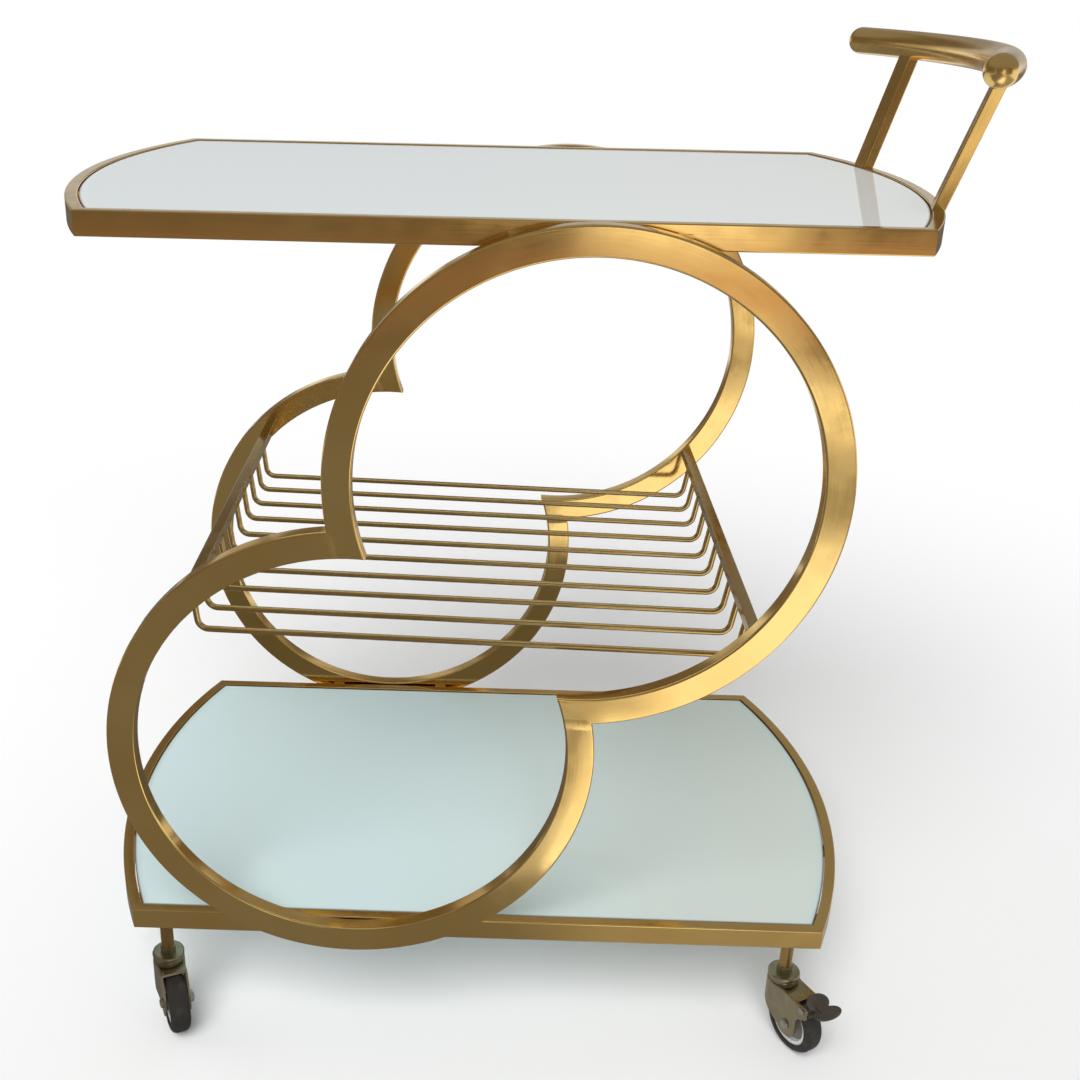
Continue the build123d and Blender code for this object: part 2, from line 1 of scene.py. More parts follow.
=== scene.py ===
# %% [markdown]
# # Gold bar trolley
# The trolley is bent and welded from gold-finished steel tube. Two pairs of hoops carry two glass trays,
# a wire rack hangs between the hoops, and a bowed push handle stands over one end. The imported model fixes
# every size and place, so this lesson loads it first and then dresses it piece by piece around that frame.

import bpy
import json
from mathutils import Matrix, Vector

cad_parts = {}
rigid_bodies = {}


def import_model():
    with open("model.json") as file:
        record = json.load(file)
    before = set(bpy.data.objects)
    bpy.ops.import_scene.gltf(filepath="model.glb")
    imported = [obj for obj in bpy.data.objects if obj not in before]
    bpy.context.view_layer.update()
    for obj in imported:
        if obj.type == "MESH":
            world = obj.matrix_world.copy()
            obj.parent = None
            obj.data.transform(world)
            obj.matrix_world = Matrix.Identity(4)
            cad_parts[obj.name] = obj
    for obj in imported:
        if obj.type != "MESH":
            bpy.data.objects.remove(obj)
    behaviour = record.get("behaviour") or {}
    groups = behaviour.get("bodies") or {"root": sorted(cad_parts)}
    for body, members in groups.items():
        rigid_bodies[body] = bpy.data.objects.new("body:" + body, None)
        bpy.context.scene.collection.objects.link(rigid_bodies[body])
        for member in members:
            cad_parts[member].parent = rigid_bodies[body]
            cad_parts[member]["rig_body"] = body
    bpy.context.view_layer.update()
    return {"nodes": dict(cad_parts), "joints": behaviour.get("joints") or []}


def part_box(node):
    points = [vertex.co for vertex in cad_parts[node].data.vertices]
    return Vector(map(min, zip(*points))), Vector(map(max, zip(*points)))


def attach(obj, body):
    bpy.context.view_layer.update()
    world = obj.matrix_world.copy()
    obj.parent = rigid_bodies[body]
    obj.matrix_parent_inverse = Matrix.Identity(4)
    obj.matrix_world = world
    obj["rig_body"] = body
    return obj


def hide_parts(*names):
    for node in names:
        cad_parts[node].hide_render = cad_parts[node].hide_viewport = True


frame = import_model()

# %% [markdown]
# ## Hand tools
# Each new piece starts as a primitive at its size and place and is shaped in edit mode, as it would be with
# a mouse: bevel, spin, extrude, bisect. These few functions are the moves that come back all the time. The
# loaded nodes are still selected, so everything is deselected before a primitive is added.

# %% Hand tools for edit mode
import json
from math import asin, atan2, cos, pi, radians, sin, sqrt, tan
from types import SimpleNamespace

import bmesh
import bpy
from mathutils import Euler, Matrix, Vector

merge_distance = 1e-6
nearly_parallel = 0.99


def begin(add, scale=(1, 1, 1), **placed):
    """Add a primitive at its size and place, and open it in edit mode with all of it selected."""
    bpy.ops.object.select_all(action="DESELECT")
    add(**placed)
    bpy.context.object.scale = scale
    bpy.ops.object.transform_apply(location=True, rotation=True, scale=True)
    bpy.ops.object.mode_set(mode="EDIT")
    bpy.ops.mesh.select_mode(type="VERT")
    bpy.ops.mesh.select_all(action="SELECT")


def pick(kind, test):
    """Select only the vertices, edges or faces that pass the test."""
    bpy.ops.mesh.select_mode(type=kind)
    bpy.ops.mesh.select_all(action="DESELECT")
    shape = bmesh.from_edit_mesh(bpy.context.object.data)
    for part in {"VERT": shape.verts, "EDGE": shape.edges, "FACE": shape.faces}[kind]:
        if test(part):
            part.select_set(True)
    bmesh.update_edit_mesh(bpy.context.object.data)


def runs_along(direction):
    """A test that an edge runs in a direction."""
    def test(edge):
        run = edge.verts[1].co - edge.verts[0].co
        return abs(run.normalized().dot(direction)) > nearly_parallel
    return test


def pull(offset):
    """Extrude what is selected by an offset."""
    bpy.ops.mesh.extrude_region_move(TRANSFORM_OT_translate={"value": offset})


def sweep_round(centre, axis, angle, steps):
    """Spin what is selected about an axis, anticlockwise seen from its tip. The tool goes clockwise."""
    bpy.ops.mesh.spin(steps=steps, angle=-angle, center=centre, axis=axis)


def cut(point, normal, fill=True):
    """Slice the piece at a plane, drop what lies on the side that the normal points to, and close it."""
    bpy.ops.mesh.select_all(action="SELECT")
    bpy.ops.mesh.bisect(plane_co=point, plane_no=Vector(normal).normalized(), use_fill=fill,
                        clear_outer=True, threshold=merge_distance)


# %% Hand tools for finishing a piece
def close_up():
    """Merge doubles, turn the faces outwards and leave edit mode."""
    bpy.ops.mesh.select_all(action="SELECT")
    bpy.ops.mesh.remove_doubles(threshold=merge_distance)
    bpy.ops.mesh.normals_make_consistent(inside=False)
    bpy.ops.object.mode_set(mode="OBJECT")
    return bpy.context.object


def take_up(piece):
    """Make a piece the only selected object."""
    bpy.ops.object.select_all(action="DESELECT")
    piece.select_set(True)
    bpy.context.view_layer.objects.active = piece


def modify(piece, kind, **settings):
    """Add a modifier, set it and apply it."""
    take_up(piece)
    modifier = piece.modifiers.new(kind.lower(), kind)
    for name, setting in settings.items():
        setattr(modifier, name, setting)
    bpy.ops.object.modifier_apply(modifier=modifier.name)


def soften(piece, width, segments=2, angle=35):
    """Round the edges that are sharper than an angle."""
    modify(piece, "BEVEL", width=width, segments=segments, limit_method="ANGLE", angle_limit=radians(angle))


def polish(piece, angle=40):
    """Shade round stretches smooth and keep flats flat up to their rounded edges."""
    take_up(piece)
    bpy.ops.object.shade_smooth_by_angle(angle=radians(angle))
    modify(piece, "WEIGHTED_NORMAL", keep_sharp=True)


def set_down(piece, matrix):
    """Put a piece modelled at the origin where it belongs, with its place in its mesh."""
    piece.matrix_world = matrix
    take_up(piece)
    bpy.ops.object.transform_apply(location=True, rotation=True, scale=True)


def join(pieces):
    """Make one piece of several."""
    bpy.ops.object.select_all(action="DESELECT")
    for piece in pieces:
        piece.select_set(True)
    bpy.context.view_layer.objects.active = pieces[0]
    bpy.ops.object.join()
    return pieces[0]


def hand_over(piece, name, node, material):
    """Name a piece, give it its finish, and let it stand for a node and ride where that node rides."""
    piece.name = name
    piece.data.name = name
    piece.data.materials.clear()
    piece.data.materials.append(material)
    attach(piece, frame["nodes"][node]["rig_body"])
    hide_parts(node)


# %% [markdown]
# ## Shader sums
# A finish is a sum: base colour plus a little stain, roughness plus a little smear. Linking Math nodes one by
# one hides that, so one small class wraps a socket and lets Python's own operators add the nodes. Anything
# that isn't arithmetic, such as a noise or a bump, comes from its one method for other nodes.

# %% A value in a shader
class Tone:
    """A socket that can be added to, multiplied and fed to other nodes like a number."""

    def __init__(self, tree, socket):
        self.tree = tree
        self.socket = socket

    def node(self, kind, settings, sockets, out=0):
        """Add a node of any kind, with its settings and the values or links of its sockets."""
        made = self.tree.nodes.new(kind)
        for name, setting in settings.items():
            setattr(made, name, setting)
        for name, value in sockets.items():
            if isinstance(value, Tone):
                self.tree.links.new(value.socket, made.inputs[name])
            else:
                made.inputs[name].default_value = value
        return Tone(self.tree, made.outputs[out])

    def maths(self, operation, first, second):
        """Add a Math node of two values."""
        return self.node("ShaderNodeMath", {"operation": operation}, {0: first, 1: second})

    def __add__(self, other):
        return self.maths("ADD", self, other)

    __radd__ = __add__

    def __sub__(self, other):
        return self.maths("SUBTRACT", self, other)

    def __rsub__(self, other):
        return self.maths("SUBTRACT", other, self)

    def __mul__(self, other):
        return self.maths("MULTIPLY", self, other)

    __rmul__ = __mul__

    def __pow__(self, power):
        return self.maths("POWER", self, power)


# %% Nodes that every finish shares
def surface(name, slot):
    """A new material of a slot: the material, its shader, and Object coordinates to start from."""
    material = bpy.data.materials.new(name)
    material["slot"] = slot
    material.use_nodes = True
    tree = material.node_tree
    coordinates = tree.nodes.new("ShaderNodeTexCoord")
    return material, tree.nodes["Principled BSDF"], Tone(tree, coordinates.outputs["Object"])


def feed(shader, sockets):
    """Set or link the sockets of a shader."""
    for name, value in sockets.items():
        if isinstance(value, Tone):
            value.tree.links.new(value.socket, shader.inputs[name])
        else:
            shader.inputs[name].default_value = value


def noise(place, per_metre, detail=2.0):
    """Soft noise from 0 to 1 with a number of bumps to the metre."""
    return place.node("ShaderNodeTexNoise", {}, {"Vector": place, "Scale": per_metre, "Detail": detail})


def step(value, low, high):
    """Rise smoothly from 0 to 1 between two values."""
    return value.node("ShaderNodeMapRange", {"interpolation_type": "SMOOTHSTEP"},
                      {"Value": value, "From Min": low, "From Max": high})


def blend(mask, first, second):
    """Mix two colours by a mask."""
    def colour(value):
        return value if isinstance(value, Tone) else (*value, 1.0)
    return mask.node("ShaderNodeMix", {"data_type": "RGBA"},
                     {"Factor": mask, 6: colour(first), 7: colour(second)}, out=2)


def bump(height, depth):
    """Tilt the surface by a height, where 1 stands for a depth in metres."""
    return height.node("ShaderNodeBump", {}, {"Height": height, "Distance": depth, "Strength": 1.0})


# %% Nodes that read and change a place
def stretch(place, factors):
    """Stretch a pattern by a factor on each axis."""
    return place.node("ShaderNodeVectorMath", {"operation": "MULTIPLY"}, {0: place, 1: factors})


def size_of(value):
    """A value without its sign."""
    return value.node("ShaderNodeMath", {"operation": "ABSOLUTE"}, {0: value})


def along(place, direction):
    """How far a place lies along a direction."""
    return place.node("ShaderNodeVectorMath", {"operation": "DOT_PRODUCT"}, {0: place, 1: direction}, out=1)


def away_from(place, point):
    """A place counted from a point."""
    return place.node("ShaderNodeVectorMath", {"operation": "SUBTRACT"}, {0: place, 1: point})


def axes(place):
    """The three coordinates of a place as values."""
    split = place.node("ShaderNodeSeparateXYZ", {}, {0: place})
    return [Tone(place.tree, split.socket.node.outputs[i]) for i in range(3)]


# %% [markdown]
# ## Gold
# The tube is steel, polished, plated in a warm gold and lacquered. Close up it keeps faint lines from the
# polishing belt, which run along the tube, so round tubes need lines that follow their curve. Object
# coordinates turned into an angle and a radius about the hoop's own centre give that without any unwrapping.
# A weld is ground flush and plated over, so a faint, dull ridge is all that shows of it.

# %% The gold finish
gold_warm, gold_pale = (0.80, 0.53, 0.18), (0.85, 0.60, 0.225)
stain_lumps, smear_lumps, smear_dull = 9.0, 45.0, 0.07
belt_lines, belt_length, belt_depth, belt_dull = 700.0, 40.0, 0.00001, 0.09
weld_reach, weld_rise, weld_lumps, weld_dull = 0.006, 0.00030, 90.0, 0.12


def lines_along(direction):
    """Belt lines along a direction: what lies along it is squeezed, and the rest is left."""
    def coordinates(place):
        excess = place.node("ShaderNodeVectorMath", {"operation": "SCALE"},
                            {0: direction, "Scale": along(place, direction) * (1 - 1 / belt_length)})
        return away_from(place, excess)
    return coordinates


def lines_round(axis, centre, radius):
    """Belt lines that follow a bend of a radius about an axis, either Y or Z."""
    def coordinates(place):
        x, y, z = axes(away_from(place, centre))
        other, depth = (z, y) if axis == "Y" else (y, z)
        turn = x.maths("ARCTAN2", other, x) * (radius / belt_length)
        away = (x * x + other * other) ** 0.5
        return place.node("ShaderNodeCombineXYZ", {}, {0: turn, 1: depth, 2: away})
    return coordinates


def weld_round(centre, radius):
    """A strip along a circle about Y, where a weld was ground down: 1 on the circle, 0 beyond its reach."""
    def strip(place):
        x, _, z = axes(away_from(place, centre))
        return 1 - step(size_of((x * x + z * z) ** 0.5 - radius), 0.0, weld_reach)
    return strip


def gold(name, lines, roughness=0.11, warm=gold_warm, pale=gold_pale, weld=None):
    """Lacquered gold with belt lines, slow changes of tone, dull smears and perhaps a ground weld."""
    material, shader, place = surface(name, "gold")
    belt = noise(lines(place), belt_lines, 3)
    stains = step(noise(place, stain_lumps, 3), 0.3, 0.7)
    smears = step(noise(place, smear_lumps, 4), 0.35, 0.75)
    relief = belt
    dullness = roughness + smear_dull * smears + belt_dull * (belt - 0.5)
    if weld:
        ground = weld(place) * (0.5 + noise(place, weld_lumps))
        relief = belt + ground * (weld_rise / belt_depth)
        dullness = dullness + weld_dull * ground
    feed(shader, {
        "Base Color": blend(stains, warm, pale),
        "Metallic": 1.0,
        "Roughness": dullness,
        "Normal": bump(relief, belt_depth),
    })
    return material


# %% [markdown]
# ## Hoops
# Each side frame is a figure of eight: two hoops of flat tube, cut on the line where they cross and welded
# there. A curve with a bevel could make the tube, but a drawn section spun about the hoop's centre gives a
# clean mesh, and one bisect at the crossing line makes the same mitre that the welder saws. The weld shows on
# the lower hoop, along the line of the upper hoop's outer edge.

# %% The four hoops
hoop_face = 0.024
hoop_round = 0.0018
hoop_steps = 240
round_segments = 4


def measure_hoop(side, level):
    """Outer radius, centre and depth of a hoop, from its node."""
    low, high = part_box(f"{side}_{level}_hoop")
    radius = (high.x - low.x) / 2
    centre_z = high.z - radius if level == "upper" else low.z + radius
    centre = Vector(((low.x + high.x) / 2, (low.y + high.y) / 2, centre_z))
    return SimpleNamespace(radius=radius, centre=centre, depth=high.y - low.y)


def hoop_tube(this, other):
    """A hoop spun from the tube's section and cut at the mitre that it shares with the other hoop."""
    start = this.centre + Vector((this.radius - hoop_face / 2, 0, 0))
    begin(bpy.ops.mesh.primitive_plane_add, size=1, location=start, scale=(hoop_face, this.depth, 1))
    bpy.ops.mesh.bevel(affect="VERTICES", offset=hoop_round, segments=round_segments)
    bpy.ops.mesh.delete(type="ONLY_FACE")
    bpy.ops.mesh.select_all(action="SELECT")
    sweep_round(this.centre, (0, -1, 0), 2 * pi, hoop_steps)
    cut((this.centre + other.centre) / 2, other.centre - this.centre)
    piece = close_up()
    polish(piece)
    return piece


upper = measure_hoop("front", "upper")
welds = {"upper": None, "lower": weld_round(upper.centre, upper.radius)}
for level, other_level in (("upper", "lower"), ("lower", "upper")):
    hoop = measure_hoop("front", level)
    hoop_gold = gold(f"gold_{level}_hoop", lines_round("Y", hoop.centre, hoop.radius), weld=welds[level])
    for side in ("front", "rear"):
        tube = hoop_tube(measure_hoop(side, level), measure_hoop(side, other_level))
        hand_over(tube, f"{side}_{level}_hoop_tube", f"{side}_{level}_hoop", hoop_gold)
        print(tube.name, len(tube.data.polygons), "faces")

# %% [markdown]
# ## Tray rims
# A rim has two straight rails and two bowed ends, mitred at the four corners. The rail is a cube with its
# long edges rounded, and the bow is the same section spun about its own centre. Both are cut at one corner
# plane, so they meet without a gap.

# %% Sizes of a tray, from its nodes
rim_round = 0.0011
rail_spare = 4
bow_spare = radians(6)
bow_steps = 96


def measure_tray(tray):
    """Rim and bow sizes of a tray, with X counted from the tray's middle."""
    rail_low, rail_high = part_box(f"{tray}_front_rail")
    bow_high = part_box(f"{tray}_right_bow")[1]
    middle = (rail_low.x + rail_high.x) / 2
    corner = rail_high.x - middle
    half = bow_high.y
    rise = bow_high.x - rail_high.x
    radius = (half**2 + rise**2) / (2 * rise)
    width = rail_high.y - rail_low.y
    bow_centre = corner + rise - radius
    inner_corner = bow_centre + sqrt((radius - width) ** 2 - (half - width) ** 2)
    return SimpleNamespace(middle=middle, corner=corner, half=half, radius=radius, width=width,
                           bow_centre=bow_centre, inner_corner=inner_corner,
                           low=rail_low.z, high=rail_high.z)


def corner_mitre(tray, end, side):
    """A point on the mitre plane of a corner, and its normal, which points out along the rail."""
    outer = Vector((tray.middle + end * tray.corner, side * tray.half, 0))
    inner = Vector((tray.middle + end * tray.inner_corner, side * (tray.half - tray.width), 0))
    normal = (inner - outer).cross(Vector((0, 0, 1)))
    return outer, normal * (end if normal.x > 0 else -end)


# %% Rails and bows of both trays
def rail_tube(node, tray, side):
    """A straight rail, sawn over length, rounded along its edges and mitred at both ends."""
    low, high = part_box(node)
    blank = high - low + Vector((rail_spare * tray.width, 0, 0))
    begin(bpy.ops.mesh.primitive_cube_add, size=1, location=(low + high) / 2, scale=blank)
    pick("EDGE", runs_along(Vector((1, 0, 0))))
    bpy.ops.mesh.bevel(affect="EDGES", offset=rim_round, segments=round_segments)
    for end in (-1, 1):
        cut(*corner_mitre(tray, end, side))
    piece = close_up()
    polish(piece)
    return piece


def bow_tube(tray, end):
    """A bowed end, spun from the tube's section and mitred to both rails."""
    centre = Vector((tray.middle + end * tray.bow_centre, 0, (tray.low + tray.high) / 2))
    sweep = asin(tray.half / tray.radius) + bow_spare
    start = (0 if end > 0 else pi) - sweep
    reach = tray.radius - tray.width / 2
    begin(bpy.ops.mesh.primitive_plane_add, size=1, rotation=(pi / 2, 0, start),
          location=centre + reach * Vector((cos(start), sin(start), 0)),
          scale=(tray.width, tray.high - tray.low, 1))
    bpy.ops.mesh.bevel(affect="VERTICES", offset=rim_round, segments=round_segments)
    bpy.ops.mesh.delete(type="ONLY_FACE")
    bpy.ops.mesh.select_all(action="SELECT")
    sweep_round(centre, (0, 0, 1), 2 * sweep, bow_steps)
    for side in (-1, 1):
        point, normal = corner_mitre(tray, end, side)
        cut(point, -normal)
    piece = close_up()
    polish(piece)
    return piece


trays = {name: measure_tray(name) for name in ("top", "bottom")}
rail_gold = gold("gold_rails", lines_along((1, 0, 0)))
for name, tray in trays.items():
    for side_name, side in (("front", -1), ("rear", 1)):
        node = f"{name}_{side_name}_rail"
        hand_over(rail_tube(node, tray, side), f"{node}_tube", node, rail_gold)
    for end_name, end in (("left", -1), ("right", 1)):
        node = f"{name}_{end_name}_bow"
        centre = (tray.middle + end * tray.bow_centre, 0, 0)
        bow_gold = gold(f"gold_{node}", lines_round("Z", centre, tray.radius))
        hand_over(bow_tube(tray, end), f"{node}_tube", node, bow_gold)
    print(name, "rim: bow radius", round(tray.radius, 4), "m")

# %% [markdown]
# ## Glass
# Each tray holds a pane of glass painted white on its back. Seen from above it is white with a faint green
# cast, because the light passes the glass twice. Light is also painted on it: the pane is tinted cooler at its
# left end and warmer at its right, a painted reflection of the rim runs along the bows, and painted shade
# lies in a narrow line beside the rim. The outline is one circle cut by the rails' lines and mirrored, so
# the bowed ends stay true arcs.

# %% White glass
rim_shade = (0.15, 0.13, 0.10)
# Reach of the painted shade and the painted rim reflection from the rim, and where the painted light changes
# from the cool left end to the warm right end.
shade_ends, rim_reflection_ends = (0.0010, 0.0034), (0.002, 0.009)
light_tint_ends, light_tint_lumps, light_tint_waver = (-0.12, 0.30), 5.0, 0.08
dust_lumps, dust_dull, wiping_lumps, wiping_dull = 260.0, 0.04, 12.0, 0.02
glass_rough = 0.03


def white_glass(name, tray, cool_light_colour, warm_light_colour, rim_reflection_colour):
    """Glass over white paint, with painted light: cooler to warmer from end to end, a painted rim reflection
    along the bows, and painted shade by the rim.
    """
    material, shader, place = surface(name, "white_glass")
    x, y, _ = axes(away_from(place, (tray.middle, 0, 0)))
    to_bow = tray.radius - tray.width - ((size_of(x) - tray.bow_centre) ** 2 + y * y) ** 0.5
    to_rail = tray.half - tray.width - size_of(y)
    # Painted reflection: the rim mirrored in the glass, as another tone along the bows.
    rim_reflection = 1 - step(to_bow, *rim_reflection_ends)
    shade = 1 - step(to_bow.maths("MINIMUM", to_bow, to_rail), *shade_ends)
    # Painted light: the pane is tinted cooler at its left end and warmer at its right, with a wavering border.
    waver = light_tint_waver * (noise(place, light_tint_lumps) - 0.5)
    light_tint = blend(step(x + waver, *light_tint_ends), cool_light_colour, warm_light_colour)
    dust = step(noise(place, dust_lumps, 3), 0.55, 0.8)
    wiping = step(noise(place, wiping_lumps, 3), 0.4, 0.7)
    feed(shader, {
        "Base Color": blend(shade, blend(rim_reflection, light_tint, rim_reflection_colour), rim_shade),
        "Roughness": glass_rough + dust_dull * dust + wiping_dull * wiping,
        "IOR": 1.5,
    })
    return material


# Cool left end, warm right end and rim reflection colours of each pane. The bottom pane's are a darker copy of
# the top's: painted shade.
glass_light_colours = {"top": ((0.80, 0.86, 0.86), (0.84, 0.875, 0.86), (0.87, 0.89, 0.87)),
                 "bottom": ((0.61, 0.75, 0.755), (0.60, 0.665, 0.625), (0.54, 0.66, 0.65))}
glass = {name: white_glass(f"white_glass_{name}", tray, *glass_light_colours[name]) for name, tray in trays.items()}
print("glass for the trays:", list(glass))

# %% The two panes
pane_points, pane_edge, pane_flatness = 720, 0.001, radians(0.01)


def glass_pane(node, tray):
    """A pane with two straight sides, two bowed ends and a ground edge."""
    low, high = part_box(node)
    centre_x = tray.middle + tray.bow_centre
    begin(bpy.ops.mesh.primitive_circle_add, vertices=pane_points, radius=high.x - centre_x,
          fill_type="NGON", location=(centre_x, 0, low.z))
    cut((0, high.y, 0), (0, 1, 0), fill=False)
    cut((0, low.y, 0), (0, -1, 0), fill=False)
    cut((tray.middle, 0, 0), (-1, 0, 0), fill=False)
    bpy.ops.mesh.select_all(action="SELECT")
    bpy.ops.mesh.duplicate()
    bpy.ops.transform.resize(value=(-1, 1, 1), center_override=(tray.middle, 0, low.z))
    bpy.ops.mesh.select_all(action="SELECT")
    bpy.ops.mesh.remove_doubles(threshold=merge_distance)
    bpy.ops.mesh.normals_make_consistent(inside=False)
    bpy.ops.mesh.dissolve_limited(angle_limit=pane_flatness)
    bpy.ops.mesh.select_all(action="SELECT")
    pull((0, 0, high.z - low.z))
    pick("EDGE", lambda edge: all(vert.co.z > high.z - merge_distance for vert in edge.verts))
    bpy.ops.mesh.bevel(affect="EDGES", offset=pane_edge, segments=2)
    piece = close_up()
    polish(piece)
    return piece


for name, tray in trays.items():
    pane = glass_pane(f"{name}_glass", tray)
    hand_over(pane, f"{name}_glass_pane", f"{name}_glass", glass[name])
    print(pane.name, len(pane.data.polygons), "faces")

# %% [markdown]
# ## Wire rack
# Ten wires, each bent into a shallow trough, hang between two square bars. One wire is drawn the way it is
# bent: a round end is extruded to the bend, spun round it and extruded on. An Array modifier lays out the
# rest. Bars and wires look darker than the hoops in the photograph, so their gold is a darker copy of the same
# gold, as painted shade.

# %% Bars of the rack
bar_round = 0.001
# Painted shade: the bars and wires get a darker copy of the frame's gold.
rack_shaded_tones = {"warm": (0.52, 0.36, 0.14), "pale": (0.58, 0.43, 0.19)}


def rack_bar(node):
    """A square bar with its long edges rounded."""
    low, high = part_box(node)
    begin(bpy.ops.mesh.primitive_cube_add, size=1, location=(low + high) / 2, scale=high - low)
    pick("EDGE", runs_along(Vector((0, 1, 0))))
    bpy.ops.mesh.bevel(affect="EDGES", offset=bar_round, segments=round_segments)
    piece = close_up()
    polish(piece)
    return piece


shaded_bar_gold = gold("shaded_gold_rack_bars", lines_along((0, 1, 0)), roughness=0.17, **rack_shaded_tones)
for end in ("left", "right"):
    bar = rack_bar(f"rack_{end}_bar")
    hand_over(bar, f"rack_{end}_square_bar", f"rack_{end}_bar", shaded_bar_gold)
    print(bar.name, len(bar.data.polygons), "faces")

# %% Wires of the rack
wire_count = 10
wire_drop = 0.039
wire_lean = 0.0055
wire_bend = 0.010
wire_thickness = 0.0055
wire_points, bend_steps = 16, 10


def middle_of(node):
    """The middle of a node's box."""
    low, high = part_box(node)
    return (low + high) / 2


def rack_wire(route, thickness, first_y):
    """One wire along a route of four corners, rounded at the bends."""
    lead = route[1] - route[0]
    begin(bpy.ops.mesh.primitive_circle_add, vertices=wire_points, radius=thickness / 2,
          location=route[0] + Vector((0, first_y, 0)), rotation=(0, atan2(lead.x, lead.z), 0))
    here = route[0]
    for corner, after in zip(route[1:], route[2:]):
        run = (corner - here).normalized()
        leave = (after - corner).normalized()
        back = wire_bend * tan(run.angle(leave) / 2)
        pull(corner - run * back - here)
        axis = run.cross(leave).normalized()
        centre = corner - run * back + axis.cross(run) * wire_bend + Vector((0, first_y, 0))
        sweep_round(centre, axis, run.angle(leave), bend_steps)
        here = corner + leave * back
    pull(route[-1] - here)
    bpy.ops.mesh.select_all(action="SELECT")
    bpy.ops.mesh.fill_holes(sides=0)
    return close_up()


left, right = middle_of("rack_left_bar"), middle_of("rack_right_bar")
run = (right - left).normalized()
down = Vector((run.z, 0, -run.x))
trough = [left,
          left + run * wire_lean + down * wire_drop,
          right - run * wire_lean + down * wire_drop,
          right]
wires_low, wires_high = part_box("rack_wires")
wire_pitch = (wires_high.y - wires_low.y - wire_thickness) / (wire_count - 1)
wires = rack_wire(trough, wire_thickness, wires_low.y + wire_thickness / 2)
modify(wires, "ARRAY", count=wire_count, use_relative_offset=False, use_constant_offset=True,
       constant_offset_displace=(0, wire_pitch, 0))
polish(wires, angle=50)
shaded_wire_gold = gold("gold_wires", lines_along(run), roughness=0.18, **rack_shaded_tones)
hand_over(wires, "rack_bent_wires", "rack_wires", shaded_wire_gold)
print("wires", len(wires.data.polygons), "faces, pitch", round(wire_pitch, 4), "m")

# %% [markdown]
# ## Push handle
# The handle is a round tube bent to a wide bow, closed by two domes, on two flat posts that lean outwards.
# The tube is a circle spun about the bow's centre, a dome is half a sphere cut by a bisect, and a post is a
# cube turned to its lean and cut level where it is welded to the rim.

# %% Sizes of the handle
handle_bow = 0.410
handle_span = 0.394
handle_low, handle_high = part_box("handle_bar")
handle_round = (handle_high.z - handle_low.z) / 2
handle_centre = Vector((handle_high.x - handle_round - handle_bow, 0, (handle_low.z + handle_high.z) / 2))
handle_sweep = asin(handle_span / 2 / handle_bow)


def on_handle(angle):
    """A place on the handle's middle line."""
    return handle_centre + handle_bow * Vector((cos(angle), sin(angle), 0))


print("handle", round(2 * handle_round, 4), "m thick, sweep", round(2 * handle_sweep, 3), "rad")

# %% Tube and domes of the handle
handle_points, handle_steps = 48, 64


def handle_tube():
    """The bowed tube, spun from its round end and closed."""
    begin(bpy.ops.mesh.primitive_circle_add, vertices=handle_points, radius=handle_round,
          location=on_handle(-handle_sweep), rotation=(pi / 2, 0, -handle_sweep))
    sweep_round(handle_centre, (0, 0, 1), 2 * handle_sweep, handle_steps)
    bpy.ops.mesh.select_all(action="SELECT")
    bpy.ops.mesh.fill_holes(sides=0)
    piece = close_up()
    polish(piece)
    return piece


def handle_dome(side):
    """Half a sphere that closes one end of the tube."""
    angle = side * handle_sweep
    outward = side * Vector((-sin(angle), cos(angle), 0))
    begin(bpy.ops.mesh.primitive_uv_sphere_add, segments=handle_points, ring_count=handle_points // 2,
          radius=handle_round, location=on_handle(angle), rotation=(-side * pi / 2, 0, angle))
    cut(on_handle(angle), -outward)
    piece = close_up()
    polish(piece)
    return piece


handle_gold = gold("gold_handle", lines_round("Z", handle_centre, handle_bow), roughness=0.2)
hand_over(handle_tube(), "handle_bowed_tube", "handle_bar", handle_gold)
domes = join([handle_dome(-1), handle_dome(1)])
dome_gold = gold("gold_domes", lines_along((0, 1, 0)), roughness=0.22)
hand_over(domes, "handle_domed_ends", "handle_end_caps", dome_gold)
print(domes.name, len(domes.data.polygons), "faces")

# %% Posts of the handle
post_spacing = 0.236
post_width = 0.020


def handle_post(side, tray):
    """A flat tube from the rim's middle line to the handle's, on the same ray from the bow's centre."""
    mid_radius = tray.radius - tray.width / 2
    angle = asin(post_spacing / 2 / mid_radius)
    ray = Vector((cos(angle), side * sin(angle), 0))
    hub = Vector((tray.middle + tray.bow_centre, 0, 0))
    across = handle_centre.x - hub.x
    reach = across * ray.x + sqrt(handle_bow**2 - (across * ray.y) ** 2)
    foot = hub + ray * mid_radius + Vector((0, 0, tray.high))
    head = hub + ray * reach + Vector((0, 0, handle_centre.z))
    lean = (head - foot).normalized()
    sideways = Vector((-ray.y, ray.x, 0))
    turned = Matrix((sideways, lean.cross(sideways), lean)).transposed()
    below = foot - lean * tray.width
    begin(bpy.ops.mesh.primitive_cube_add, size=1, location=(below + head) / 2, rotation=turned.to_euler(),
          scale=(post_width, tray.width, (head - below).length))
    pick("EDGE", runs_along(lean))
    bpy.ops.mesh.bevel(affect="EDGES", offset=rim_round, segments=round_segments)
    cut((0, 0, tray.high), (0, 0, -1))
    piece = close_up()
    polish(piece)
    return piece, lean


for side_name, side in (("front", -1), ("rear", 1)):
    post, lean = handle_post(side, trays["top"])
    post_gold = gold(f"gold_{side_name}_post", lines_along(lean))
    hand_over(post, f"{side_name}_handle_flat_post", f"{side_name}_handle_post", post_gold)
    print(post.name, len(post.data.polygons), "faces")

